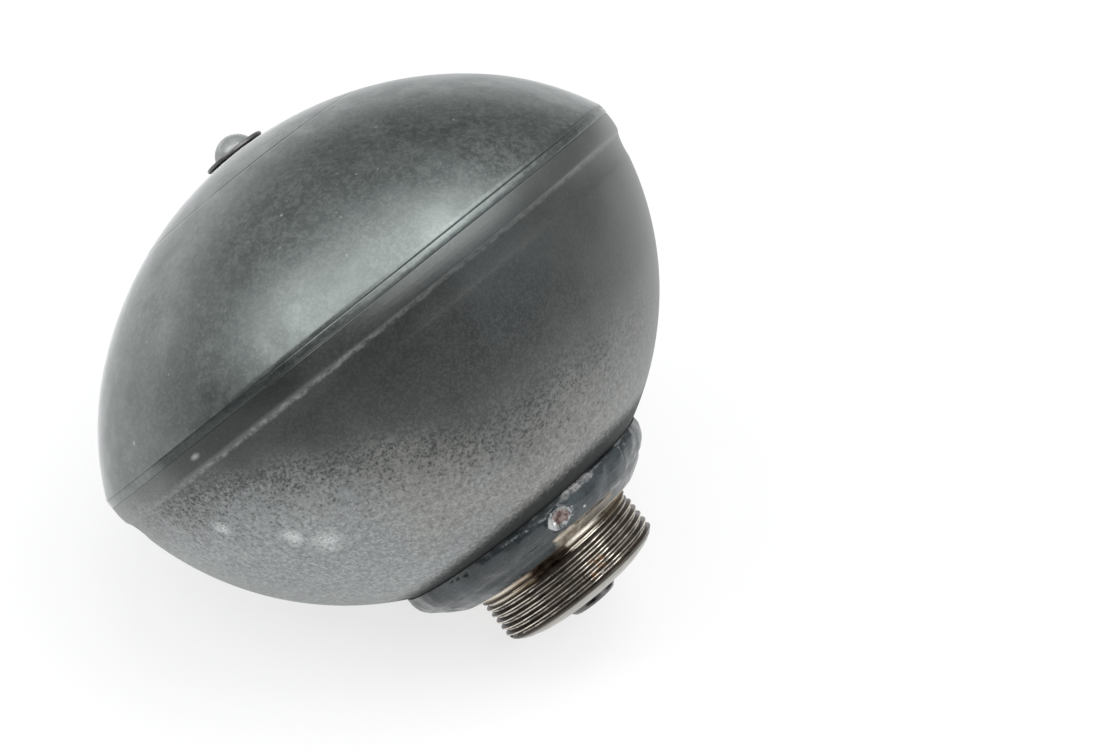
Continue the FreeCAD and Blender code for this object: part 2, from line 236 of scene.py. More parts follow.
def turned(name, points, relief=None, segments=360, loop=True, sharp=40):
    """A mesh turned from an anticlockwise outline; relief gives its outward lift at each point."""
    if loop and np.linalg.norm(points[0] - points[-1]) < 1e-6:
        points = points[:-1]
    phi = np.linspace(0, TURN, segments, endpoint=False)
    r = np.repeat(points[:, :1], segments, 1)
    z = np.repeat(points[:, 1:], segments, 1)
    phi = np.repeat(phi[None], len(points), 0)
    if relief:
        if loop:
            run = np.roll(points, -1, 0) - np.roll(points, 1, 0)
        else:
            run = np.gradient(points, axis=0)
        run /= np.linalg.norm(run, axis=1)[:, None]
        lift = relief(r, z, phi)
        r = r + lift * run[:, 1:]
        z = z - lift * run[:, :1]
    corners = np.stack((r * np.cos(phi), r * np.sin(phi), z), -1).reshape(-1, 3) * MM
    corners = corners @ np.array(lying.to_3x3()).T + np.array(seam_centre)
    rows = len(points) if loop else len(points) - 1
    i, j = np.meshgrid(np.arange(rows), np.arange(segments), indexing="ij")
    after = (i + 1) % len(points)
    beside = (j + 1) % segments
    quads = np.stack((i * segments + j, i * segments + beside,
                      after * segments + beside, after * segments + j), -1).reshape(-1, 4)
    mesh = bpy.data.meshes.new(name)
    mesh.from_pydata(corners.tolist(), [], quads.tolist())
    work = bmesh.new()
    work.from_mesh(mesh)
    if not loop:
        bmesh.ops.remove_doubles(work, verts=work.verts, dist=1e-8)
    bmesh.ops.recalc_face_normals(work, faces=work.faces)
    work.to_mesh(mesh)
    work.free()
    mesh.shade_smooth()
    mesh.set_sharp_from_angle(angle=math.radians(sharp))
    piece = bpy.data.objects.new(name, mesh)
    bpy.context.scene.collection.objects.link(piece)
    return piece


# Materials

class Finish:
    """A node material about the common axis, with lengths in millimetres."""

    def __init__(self, name, **surface):
        self.made = bpy.data.materials.new(name)
        self.made.use_nodes = True
        self.tree = self.made.node_tree
        self.surface = self.tree.nodes["Principled BSDF"]
        for socket, value in surface.items():
            self.surface.inputs[socket.replace("_", " ")].default_value = value
        place = self.node("ShaderNodeTexCoord").outputs["Object"]
        inputs = {0: place, "Location": seam_centre, "Rotation": lying.to_euler(),
                  "Scale": (MM, MM, MM)}
        self.place = self.node("ShaderNodeMapping", inputs, vector_type="TEXTURE").outputs[0]
        parts = self.node("ShaderNodeSeparateXYZ", {0: self.place}).outputs
        self.x, self.y, self.z = parts
        squares = self.maths("ADD", self.both(self.x, self.x), self.both(self.y, self.y))
        self.radius = self.maths("SQRT", squares)

    def node(self, kind, inputs=(), **settings):
        made = self.tree.nodes.new(kind)
        for key, value in settings.items():
            setattr(made, key, value)
        for key, value in dict(inputs).items():
            if isinstance(value, bpy.types.NodeSocket):
                self.tree.links.new(value, made.inputs[key])
            else:
                made.inputs[key].default_value = value
        return made

    def maths(self, operation, *values, clamp=False):
        inputs = dict(enumerate(values))
        return self.node("ShaderNodeMath", inputs, operation=operation, use_clamp=clamp).outputs[0]

    def scaled(self, value, factor, plus):
        """A value times a factor, plus another value."""
        return self.maths("MULTIPLY_ADD", value, factor, plus)

    def grain(self, size, detail=2.0, rough=0.5, stretch=(1, 1, 1), shift=(0, 0, 0)):
        """Noise from 0 to 1 with features about size millimetres across."""
        place = self.place
        if stretch != (1, 1, 1) or shift != (0, 0, 0):
            place = self.node("ShaderNodeMapping", {0: place, "Scale": stretch, "Location": shift})
            place = place.outputs[0]
        inputs = {"Vector": place, "Scale": 1 / size, "Detail": detail, "Roughness": rough}
        return self.node("ShaderNodeTexNoise", inputs).outputs[0]

    def grains(self, size, shift=(0, 0, 0)):
        """A random value from 0 to 1 in each of many ragged cells about size millimetres across."""
        place = self.place
        if shift != (0, 0, 0):
            place = self.node("ShaderNodeMapping", {0: place, "Location": shift}).outputs[0]
        inputs = {"Vector": place, "Scale": CELL_WARP / size, "Detail": 2.0}
        bend = self.node("ShaderNodeTexNoise", inputs).outputs["Color"]
        inputs = {0: bend, 1: (size, size, size), 2: place}
        place = self.node("ShaderNodeVectorMath", inputs, operation="MULTIPLY_ADD").outputs[0]
        cells = self.node("ShaderNodeTexVoronoi", {"Vector": place, "Scale": 1 / size})
        return self.node("ShaderNodeSeparateColor", {0: cells.outputs["Color"]}).outputs[0]

    def fade(self, value, low, high, first=0.0, last=1.0):
        """Runs smoothly from first to last while a value goes from low to high."""
        inputs = {0: value, 1: low, 2: high, 3: first, 4: last}
        return self.node("ShaderNodeMapRange", inputs, interpolation_type="SMOOTHSTEP").outputs[0]

    def angle(self, middle):
        """Degrees about the axis from an angle, from -180 to 180."""
        turn = math.radians(middle)
        along = self.scaled(self.x, math.cos(turn), self.both(self.y, math.sin(turn)))
        across = self.scaled(self.y, math.cos(turn), self.both(self.x, -math.sin(turn)))
        return self.both(self.maths("ARCTAN2", across, along), 360 / TURN)

    def within(self, value, low, high, soft):
        """One between low and high, fading to nothing over soft at each side."""
        rising = self.fade(value, low - soft, low)
        return self.both(rising, self.fade(value, high, high + soft, 1.0, 0.0))

    def both(self, first, second):
        return self.maths("MULTIPLY", first, second)

    def either(self, first, second):
        return self.maths("MAXIMUM", first, second)

    def off(self, value, place):
        """How far a value is from a place, either way."""
        return self.maths("ABSOLUTE", self.maths("SUBTRACT", value, place))

    def blend(self, share, first, second):
        made = self.node("ShaderNodeMix", {0: share}, data_type="RGBA")
        for socket, value in ((made.inputs[6], first), (made.inputs[7], second)):
            if isinstance(value, bpy.types.NodeSocket):
                self.tree.links.new(value, socket)
            else:
                socket.default_value = (*value, 1)
        return made.outputs[2]

    def laid(self, tone, colour, share, strength=1.0):
        """A colour laid over a tone where a share is one."""
        if strength != 1.0:
            share = self.both(share, strength)
        return self.blend(share, tone, colour)

    def spot(self, centre, reach, ragged=0.0, size=1.0, stretch=(1, 1, 1), core=0.6):
        """One at a point of the surface, fading to nothing at reach; its edge can be ragged."""
        offset = self.node("ShaderNodeVectorMath", {0: self.place, 1: centre}, operation="SUBTRACT")
        offset = self.node("ShaderNodeVectorMath", {0: offset.outputs[0], 1: stretch},
                           operation="MULTIPLY")
        away = self.node("ShaderNodeVectorMath", {0: offset.outputs[0]}, operation="LENGTH")
        away = away.outputs["Value"]
        if ragged:
            rough = self.maths("SUBTRACT", self.grain(size, 2), 0.5)
            away = self.scaled(rough, ragged * reach * 2, away)
        return self.fade(away, reach * core, reach, 1.0, 0.0)

    def marks(self, places, size, ragged=0.3, core=0.6):
        """One inside any of several small marks, each a place and a reach."""
        found = [self.spot(place, reach, ragged, size, core=core) for place, reach in places]
        share = found[0]
        for mark in found[1:]:
            share = self.either(share, mark)
        return share

    def drive(self, socket, value):
        """Links a value to a socket of the shader."""
        self.tree.links.new(value, self.surface.inputs[socket])

    def bump(self, height, depth, strength=1.0):
        """Adds a bump of depth millimetres on top of those before it."""
        inputs = {"Height": height, "Strength": strength, "Distance": depth * MM}
        socket = self.surface.inputs["Normal"]
        if socket.is_linked:
            inputs["Normal"] = socket.links[0].from_socket
        made = self.node("ShaderNodeBump", inputs)
        self.tree.links.new(made.outputs[0], socket)


def on_axis(angle, radius, height):
    """A place on a turned surface: degrees about the axis, then millimetres."""
    turn = math.radians(angle)
    return (radius * math.cos(turn), radius * math.sin(turn), height)


# Limits of a noise between which its patches show, and wider ones for a softer look
MOTTLE = (0.35, 0.65)
WIDE = (0.3, 0.7)
CELL_WARP = 1.6

# Tints of the gloss
GREENISH = (0.90, 1.0, 0.97, 1)
FAINT_GREEN = (0.93, 1.0, 0.98, 1)

# Colours of the shells' paint and dust, and of the shade painted on them
SHELL_DARK = (0.020, 0.024, 0.023)
SHELL_LIGHT = (0.028, 0.033, 0.032)
SHELL_GRAIN = (0.105, 0.114, 0.11)
SHELL_PIT = (0.016, 0.019, 0.019)
SHELL_SPECK = (0.30, 0.30, 0.29)
SHELL_MARK = (0.42, 0.42, 0.41)
SHELL_PAINTED_SHADE = (0.014, 0.015, 0.015)
RING_PAINTED_SHADE = (0.012, 0.014, 0.014)
SEAM_PAINTED_SHADE = (0.010, 0.011, 0.011)
FILM_DARK = (0.0245, 0.0245, 0.0240)
FILM_LIGHT = (0.063, 0.068, 0.066)
POWDER_COOL = (0.345, 0.352, 0.350)
POWDER_WARM = (0.375, 0.367, 0.342)
POWDER_PALE = (0.44, 0.455, 0.45)
LOOSE_DUST = (0.080, 0.084, 0.082)
BLOTCH = (0.72, 0.74, 0.73)
RIDGE_PALE = (0.22, 0.226, 0.222)
BAND_PAINTED_SHADE = (0.014, 0.014, 0.014)
JOINT_BARE_AND_SHADE = (0.018, 0.019, 0.019)

# Colours of the collar
COLLAR_DARK = (0.030, 0.037, 0.040)
COLLAR_LIGHT = (0.056, 0.068, 0.073)
COLLAR_PAINTED_SHADE = (0.014, 0.020, 0.022)
COLLAR_SPECK = (0.12, 0.14, 0.145)
COLLAR_DUST = (0.19, 0.20, 0.20)
COLLAR_TOE_SHADE = (0.012, 0.014, 0.015)
COLLAR_GLINT = (0.55, 0.58, 0.58)
STREAK = (0.36, 0.34, 0.34)
COLLAR_HIGHLIGHT_LINE = (0.36, 0.38, 0.38)
CHIP_RUST = (0.13, 0.075, 0.07)
CHIP_METAL = (0.40, 0.32, 0.29)
CHIP_SILVER = (0.56, 0.57, 0.56)
CHIP_PALE = (0.66, 0.58, 0.54)
CHIP_RIM = (0.58, 0.59, 0.59)
FOOT_DARK = (0.34, 0.29, 0.225)
FOOT_LIGHT = (0.50, 0.445, 0.365)
FOOT_SHADE = (0.13, 0.12, 0.105)

# Colours of the neck and the plug
TAN_DARK = (0.34, 0.28, 0.21)
TAN_LIGHT = (0.52, 0.455, 0.37)
RELIEF_HIGHLIGHT = (0.84, 0.79, 0.70)
RELIEF_DARK_REFLECTION = (0.075, 0.045, 0.028)
FLANK_DARK = (0.026, 0.020, 0.016)
FLANK_LIGHT = (0.070, 0.055, 0.043)
THREAD_WEAR_AND_HIGHLIGHT = (0.80, 0.745, 0.66)
LEAD_STEEL = (0.42, 0.405, 0.375)
RUST = (0.26, 0.12, 0.045)
NICK = (0.75, 0.74, 0.72)
PLUG_DARK = (0.20, 0.215, 0.21)
PLUG_LIGHT = (0.28, 0.295, 0.288)
PLUG_EDGE = (0.045, 0.036, 0.037)

# Small marks, each a place on the surface and a reach in millimetres
SHELL_MARKS = ((on_axis(218.0, 44.9, -20.7), 0.45), (on_axis(270.6, 57.4, -6.0), 0.7),
               (on_axis(190.0, 40.0, -25.0), 0.35), (on_axis(240.0, 55.0, -11.0), 0.3))
BLOTCHES = ((on_axis(267.1, 56.9, 15.3), 2.4), (on_axis(257.9, 53.0, 24.4), 3.2),
            (on_axis(254.0, 50.0, 28.4), 4.6))
BLOT = on_axis(256.8, 60.1, 2.5)
# Painted glints on the collar's lumps, notches and drip
COLLAR_GLINTS = ((on_axis(243.6, 26.6, 54.3), 0.55), (on_axis(251.3, 28.2, 50.7), 0.5),
                (on_axis(249.6, 28.2, 51.4), 0.4), (on_axis(197.0, 26.6, 54.3), 0.45),
                (on_axis(163.5, 28.2, 51.0), 0.7), (on_axis(159.0, 27.0, 53.6), 0.5),
                (on_axis(277.0, 24.6, 55.6), 0.5))
RUST_SPOTS = ((on_axis(199.6, 17.2, 65.1), 1.6), (on_axis(205.3, 17.2, 64.1), 1.0),
              (on_axis(208.0, 17.2, 66.6), 1.1))
NICK_PLACE = on_axis(202.8, 17.3, 67.4)
CHIP = on_axis(CHIP_ANGLE, 27.5, CHIP_HEIGHT)
CHIP_HIGHLIGHT = on_axis(206.6, 27.5, 53.0)

# Places on the object: angles in degrees about the axis, the rest in millimetres
SEAM_SHADE_SIDE = 248
SEAM_SHADE_HALF = 12
DUST_SIDE = math.radians(300)
DUST_START = 23.0
DUST_FULL = 49.6
DUST_SWAY = 30.0
DUST_UNEVEN = 7.0
RIDGE = 5.85
RIDGE_SWAY = 1.2
JOINT_START = 46.5
JOINT_FULL = 49.5
JOINT_RAGGED = 3.5
COLLAR_SHADE_SIDE = 232
COLLAR_DUST_SIDE = 285
STREAK_SIDE = 195.5
HIGHLIGHT_LINE_SIDE = 222
HIGHLIGHT_LINE_SLOPE = 0.045
FOOT_SIDE = 201
FOOT_HALF = 17
NECK_HIGHLIGHT_SIDES = (198, 276)
DARK_REFLECTION_SIDE = 229


def painted_seam_shade(paint):
    """One on the stretch of the seam that lies in shade, fading to both sides; painted shade goes
    there.
    """
    return paint.within(paint.angle(SEAM_SHADE_SIDE), -SEAM_SHADE_HALF, SEAM_SHADE_HALF,
                        SEAM_SHADE_HALF)


def shell_paint():
    """Satin paint with a fine pale grain and a few marks, with painted shade in the seam lines, in
    the press ring and where the seam lies in shade.
    """
    paint = Finish("shell_paint", IOR=1.75, Specular_Tint=GREENISH,
                   Sheen_Weight=1.0, Sheen_Roughness=0.2)
    tone = paint.blend(paint.fade(paint.grain(22, 3), *MOTTLE), SHELL_DARK, SHELL_LIGHT)
    density = paint.fade(paint.grain(26, 2, shift=(4, 9, 2)), 0.42, 0.62, 0.5, 0.75)
    chance = paint.scaled(paint.grains(0.95, (2, 6, 3)), 0.45, paint.both(paint.grains(0.42), 0.55))
    tone = paint.laid(tone, SHELL_GRAIN, paint.both(paint.fade(chance, 0.25, 0.85), density))
    fine = paint.grain(0.45, 2, 0.6)
    tone = paint.laid(tone, SHELL_PIT, paint.fade(fine, *MOTTLE, 0.35, 0.0))
    bright = paint.fade(paint.grains(0.4, (3, 1, 5)), 0.9985, 0.9995)
    tone = paint.laid(tone, SHELL_SPECK, bright, 0.4)
    tone = paint.laid(tone, SHELL_MARK, paint.marks(SHELL_MARKS, 0.5, 0.3, 0.1), 0.5)

    height = paint.maths("ABSOLUTE", paint.z)
    # Painted shade in the two seam lines, on the side where they stay open
    right = paint.fade(paint.angle(SEAM_SHADE_SIDE), -24, 0, 1.0, 0.0)
    line = paint.both(paint.within(height, 0.68, 0.84, 0.06), right)
    tone = paint.laid(tone, SEAM_PAINTED_SHADE, line, 0.7)
    # Painted shade on the stretch of the seam that lies in shade, with less gloss there
    painted_shade = paint.both(paint.fade(height, 0.8, 1.2, 1.0, 0.0), painted_seam_shade(paint))
    tone = paint.laid(tone, SHELL_PAINTED_SHADE, painted_shade, 0.6)
    # Painted shade in the shallow press ring around the plug
    ring = paint.fade(paint.off(paint.radius, PRESS_RING), 0.1, 0.4, 1.0, 0.0)
    ring = paint.both(ring, paint.fade(paint.z, -31.0, -30.0, 0.25, 0.0))
    tone = paint.laid(tone, RING_PAINTED_SHADE, ring)

    paint.drive("Base Color", tone)
    paint.drive("Specular IOR Level", paint.fade(painted_shade, 0.0, 1.0, 1.0, 0.3))
    paint.drive("Roughness", paint.fade(paint.grain(5, 3), *WIDE, 0.34, 0.44))
    paint.bump(paint.grain(2.6, 2), 0.010)
    paint.bump(fine, 0.008)
    return paint.made


def powdered(paint, tone, patch, reach):
    """Pale dust over a tone, thinner towards the seam; also its cover and its grain."""
    uneven = paint.maths("SUBTRACT", patch, 0.5)
    depth = paint.scaled(uneven, DUST_UNEVEN, paint.maths("ADD", paint.z, reach))
    dust = paint.fade(depth, DUST_START, DUST_FULL)
    grains = paint.grains(0.38)
    clumps = paint.fade(paint.grain(1.0, 3, 0.7), *WIDE)
    chance = paint.scaled(clumps, 0.4, paint.both(grains, 0.6))
    flecks = paint.fade(paint.maths("SUBTRACT", dust, chance), -0.3, 0.3)
    cover = paint.scaled(flecks, 0.14, paint.both(dust, 0.66))
    rough = paint.both(paint.maths("SUBTRACT", chance, 0.5), paint.fade(dust, 0.0, 0.42))
    cover = paint.maths("ADD", paint.both(rough, 1.2), cover, clamp=True)
    warm = paint.fade(paint.grain(20, 2, shift=(3, 1, 7)), 0.42, 0.62)
    powder = paint.blend(warm, POWDER_COOL, POWDER_WARM)
    facing = paint.fade(reach, 0.3 * DUST_SWAY, 0.8 * DUST_SWAY)
    tone = paint.laid(tone, paint.laid(powder, POWDER_PALE, facing), cover)
    loose = paint.both(paint.fade(grains, 0.3, 1.0), paint.fade(paint.z, 4.0, 30.0, 0.2, 0.6))
    return paint.laid(tone, LOOSE_DUST, loose), cover, grains


def dusty_paint(name, level, **gloss):
    """Satin paint under pale dust, which reaches further up on the side the spray came from, with
    painted shade in the seam line and on the band where the seam lies in shade, and darker paint
    beside the collar that is partly painted shade.
    """
    paint = Finish(name, Specular_Tint=FAINT_GREEN, Sheen_Weight=0.08, Sheen_Roughness=0.4, **gloss)
    patch = paint.grain(11, 3)
    toward = paint.scaled(paint.y, math.sin(DUST_SIDE), paint.both(paint.x, math.cos(DUST_SIDE)))
    toward = paint.maths("DIVIDE", toward, paint.radius)
    reach = paint.either(paint.both(toward, DUST_SWAY), 0.0)
    film = paint.maths("ADD", paint.fade(toward, -0.9, -0.1, 0.75, 0.0),
                       paint.fade(patch, *MOTTLE, 0.0, 0.25))
    tone = paint.blend(film, FILM_DARK, FILM_LIGHT)
    tone, cover, grains = powdered(paint, tone, patch, reach)

    pale = paint.marks(BLOTCHES, 1.6, 0.3, 0.0)
    pale = paint.both(pale, paint.fade(grains, 0.2, 0.8, 0.3, 1.0))
    blot = paint.spot(BLOT, 1.7, 0.15, 1.5, (1, 1, 2.2), 0.0)
    tone = paint.laid(tone, BLOTCH, paint.either(pale, paint.both(blot, 0.8)), 0.75)

    ridge = paint.off(paint.scaled(paint.grain(2.6, 2), RIDGE_SWAY, paint.z), RIDGE)
    ridge = paint.fade(ridge, 0.0, 0.6, 1.0, 0.0)
    ridge = paint.both(ridge, paint.fade(paint.grain(1.7, 5, 0.8), 0.34, 0.6))
    ridge = paint.both(ridge, paint.fade(toward, -0.2, 0.5, 0.3, 0.8))
    tone = paint.laid(tone, RIDGE_PALE, ridge)
    # Painted shade in the seam line, fading out on the side the dust came from
    line = paint.within(paint.z, 0.66, 0.82, 0.06)
    tone = paint.laid(tone, SEAM_PAINTED_SHADE, paint.both(line, paint.fade(toward, 0.3, 0.6, 0.7, 0.0)))
    # Painted shade on the band where the seam lies in shade
    painted_shade = paint.both(paint.fade(paint.z, 4.0, 4.8, 1.0, 0.0), painted_seam_shade(paint))
    tone = paint.laid(tone, BAND_PAINTED_SHADE, painted_shade, 0.4)

    # Darker, duller paint next to the collar: partly dust-free paint, partly painted shade in the
    # crevice
    toward_collar = paint.scaled(reach, -0.05, paint.z)
    toward_collar = paint.scaled(paint.grain(0.9, 4, 0.8), JOINT_RAGGED, toward_collar)
    bare_and_shaded_joint = paint.fade(toward_collar, JOINT_START, JOINT_FULL)
    dull = paint.either(bare_and_shaded_joint, paint.both(painted_shade, 0.6))
    paint.drive("Base Color", paint.laid(tone, JOINT_BARE_AND_SHADE, bare_and_shaded_joint, 0.97))
    paint.drive("Specular IOR Level", paint.fade(dull, 0.0, 1.0, level, 0.16 * level))
    paint.drive("Roughness", paint.fade(cover, 0.0, 0.8, 0.36, 0.6))
    paint.bump(paint.grain(3.0, 2), 0.010)
    paint.bump(grains, 0.012)
    return paint.made


def scuffed(paint, tone):
    """The painted glints, the scuffed streak and the painted highlight line of the collar over its
    tone.
    """
    # Painted glints
    tone = paint.laid(tone, COLLAR_GLINT, paint.marks(COLLAR_GLINTS, 0.4, 0.7, 0.2), 0.8)
    streak = paint.both(paint.within(paint.angle(STREAK_SIDE), -6.5, 6.5, 2.0),
                        paint.within(paint.z, 49.9, 50.7, 0.6))
    streak = paint.both(streak, paint.fade(paint.grain(0.8, 4, 0.7), 0.42, 0.58))
    tone = paint.laid(tone, STREAK, streak, 0.7)
    # A painted highlight line along the bead's upper part
    thin_line = paint.scaled(paint.angle(HIGHLIGHT_LINE_SIDE), HIGHLIGHT_LINE_SLOPE, paint.z)
    thin_line = paint.both(paint.within(thin_line, 50.75, 50.85, 0.35),
                        paint.within(paint.angle(HIGHLIGHT_LINE_SIDE), -9, 9, 4.0))
    thin_line = paint.both(thin_line, paint.fade(paint.grain(1.1, 3, 0.7), 0.42, 0.6))
    return paint.laid(tone, COLLAR_HIGHLIGHT_LINE, thin_line, 0.5)


def chipped(paint, tone):
    """The chip of the collar over its tone: torn rim, rusty floor, silver side and a painted
    highlight.
    """
    squash = (1, 1, CHIP_SQUASH)
    rim = paint.spot(CHIP, 2.9, 0.34, 1.3, squash, 0.9)
    bare = paint.spot(CHIP, 2.1, 0.3, 1.2, squash, 0.88)
    metal = paint.blend(paint.fade(paint.grain(0.9, 4, 0.7), 0.4, 0.62), CHIP_RUST, CHIP_METAL)
    metal = paint.laid(metal, CHIP_SILVER, paint.fade(paint.angle(210.2), -0.5, 1.0), 0.85)
    # A painted highlight on the chip's floor
    metal = paint.laid(metal, CHIP_PALE, paint.spot(CHIP_HIGHLIGHT, 0.9, 0.4, 0.6), 0.8)
    torn = paint.fade(paint.grain(0.8, 4, 0.8), 0.44, 0.58)
    torn = paint.either(torn, paint.fade(paint.angle(210.0), 0.0, 3.0))
    tone = paint.laid(tone, CHIP_RIM, paint.both(rim, torn), 0.8)
    return paint.laid(tone, metal, bare), bare


def bared_foot(paint, tone):
    """Bare metal over the collar's tone, where its paint is gone beside the neck."""
    torn = paint.grain(1.6, 4, 0.7)
    across = paint.scaled(torn, 9.0, paint.angle(FOOT_SIDE))
    along = paint.scaled(torn, 0.9, paint.z)
    foot = paint.both(paint.within(across, -FOOT_HALF, FOOT_HALF, 3.0),
                      paint.fade(along, 55.9, 56.3))
    worn = paint.blend(paint.fade(paint.grain(2.4, 3), *MOTTLE), FOOT_DARK, FOOT_LIGHT)
    worn = paint.laid(worn, FOOT_SHADE, paint.fade(paint.angle(FOOT_SIDE), -10, 2, 0.65, 0.0))
    return paint.laid(tone, worn, foot), foot


def collar_paint():
    """Glossy paint over the weld, chipped to bare metal in one place and scuffed beside it, with
    painted shade on one side and along its edge by the shell.
    """
    paint = Finish("collar_paint", Specular_IOR_Level=0.55)
    tone = paint.blend(paint.fade(paint.grain(5, 3), *MOTTLE), COLLAR_DARK, COLLAR_LIGHT)
    speck = paint.grain(0.5, 2)
    # Painted shade on one side of the collar
    shade = paint.within(paint.angle(COLLAR_SHADE_SIDE), -17, 16, 14)
    tone = paint.laid(tone, COLLAR_PAINTED_SHADE, shade, 0.7)
    tone = paint.laid(tone, COLLAR_SPECK, paint.fade(speck, 0.55, 0.75), 0.3)
    dusty = paint.fade(paint.angle(COLLAR_DUST_SIDE), -14, 10)
    tone = paint.laid(tone, COLLAR_DUST, paint.both(dusty, paint.fade(speck, 0.3, 0.6)), 0.35)
    # Painted shade along the collar's edge next to the shell
    tone = paint.laid(tone, COLLAR_TOE_SHADE, paint.fade(paint.z, 49.6, 50.5, 1.0, 0.0), 0.75)
    tone = scuffed(paint, tone)
    tone, bare = chipped(paint, tone)
    tone, foot = bared_foot(paint, tone)
    paint.drive("Base Color", tone)
    metal = paint.maths("MULTIPLY_ADD", foot, 0.9, paint.both(bare, 0.5), clamp=True)
    paint.drive("Metallic", metal)
    paint.drive("Roughness", paint.fade(paint.grain(2.0, 3), *WIDE, 0.2, 0.38))
    paint.bump(paint.grain(1.8, 3), 0.05)
    paint.bump(paint.grain(0.6, 2), 0.012)
    return paint.made


def neck_steel():
    """Turned steel, tan and stained on the relief, with painted highlights and a painted dark
    reflection there; dark between the worn thread crests and roots, both given painted highlights.
    """
    steel = Finish("neck_steel", Specular_IOR_Level=0.3)
    stain = steel.grain(3.2, 4, 0.6)
    tone = steel.blend(steel.fade(stain, *MOTTLE), TAN_DARK, TAN_LIGHT)
    # Painted highlights on two sides of the relief
    top, left = NECK_HIGHLIGHT_SIDES
    bright = steel.either(steel.both(steel.within(steel.angle(top), -12, 10, 16), 0.85),
                          steel.within(steel.angle(left), -4, 30, 25))
    tone = steel.laid(tone, RELIEF_HIGHLIGHT, bright)
    # A painted dark reflection on the relief, with a ragged edge
    dark_reflection = steel.scaled(steel.grain(2.0, 3), 8.0, steel.angle(DARK_REFLECTION_SIDE))
    tone = steel.laid(tone, RELIEF_DARK_REFLECTION, steel.within(dark_reflection, -12, 12, 5), 0.9)

    relief = steel.fade(steel.z, THREAD_START - 1.4, THREAD_START - 0.9, 1.0, 0.0)
    low = steel.fade(steel.radius, RELIEF + 0.02, RELIEF + 0.07, 1.0, 0.0)
    low = steel.both(low, steel.fade(steel.z, THREAD_START - 0.1, THREAD_START + 0.3, 1.0, 0.0))
    relief = steel.either(relief, low)
    flank = steel.blend(steel.fade(stain, *WIDE), FLANK_DARK, FLANK_LIGHT)
    # Bright lines on the thread: on the crests worn metal and painted highlight, on the roots a
    # painted highlight
    worn = steel.fade(steel.grain(1.4, 3, 0.6, (0.4, 0.4, 1)), 0.32, 0.55, 0.3, 1.0)
    crest = steel.both(steel.fade(steel.radius, 17.40, 17.47), worn)
    root = steel.both(steel.fade(steel.radius, 16.60, 16.70, 0.85, 0.0), worn)
    worn_and_highlit = steel.either(crest, root)
    thread = steel.blend(worn_and_highlit, flank, THREAD_WEAR_AND_HIGHLIGHT)
    tone = steel.blend(relief, thread, tone)

    lead = steel.fade(steel.z, THREAD_END + 0.5, THREAD_END + 1.1)
    tone = steel.laid(tone, LEAD_STEEL, lead)
    rust = steel.both(steel.marks(RUST_SPOTS, 1.0, 0.5), steel.fade(steel.grain(0.8, 3), 0.42, 0.6))
    tone = steel.laid(tone, RUST, rust, 0.8)
    tone = steel.laid(tone, NICK, steel.spot(NICK_PLACE, 0.6, 0.3, 0.5), 0.8)
    steel.drive("Base Color", tone)
    shining = steel.either(steel.either(relief, lead), worn_and_highlit)
    steel.drive("Metallic", steel.fade(shining, 0.0, 1.0, 0.25, 1.0))
    steel.drive("Roughness", steel.fade(stain, *WIDE, 0.24, 0.42))
    steel.bump(steel.grain(0.12, 2, stretch=(0.02, 0.02, 1)), 0.006)
    steel.bump(steel.grain(0.5, 3), 0.006)
    return steel.made


def plug_paint():
    """Glossy grey paint, dark on the washer's edge."""
    paint = Finish("plug_paint", Roughness=0.3, Specular_IOR_Level=0.9)
    tone = paint.blend(paint.fade(paint.grain(3, 3), *MOTTLE), PLUG_DARK, PLUG_LIGHT)
    edge = paint.fade(paint.radius, 4.3, 5.4)
    paint.drive("Base Color", paint.laid(tone, PLUG_EDGE, edge, 0.8))
    paint.drive("Roughness", paint.fade(paint.grain(1.2, 3), *WIDE, 0.22, 0.38))
    paint.bump(paint.grain(0.7, 3), 0.012)
    return paint.made


def machined(name, dark, light, rough, size=1.4, metallic=1.0):
    """Plain machined or moulded stock: mottled tone, uneven gloss and a fine tooth."""
    stock = Finish(name, Metallic=metallic, Roughness=rough)
    stock.drive("Base Color", stock.blend(stock.fade(stock.grain(size * 3, 3), *WIDE), dark, light))
    uneven = stock.fade(stock.grain(size, 3), *WIDE, rough * 0.8, rough * 1.25)
    stock.drive("Roughness", uneven)
    stock.bump(stock.grain(size * 0.25, 3), 0.008)
    return stock.made


# Pieces of the object

def filled(z, phi):
    """Paint that closes the two seam lines on the side away from the light."""
    left = around(phi, FILLED_SIDE)
    share = smooth_step(0, 32, left) * (1 - smooth_step(80, 120, left))
    return SEAM_FILL * share * (np.abs(np.abs(z) - SEAM_LINE) < SEAM_LINE_ROOM)


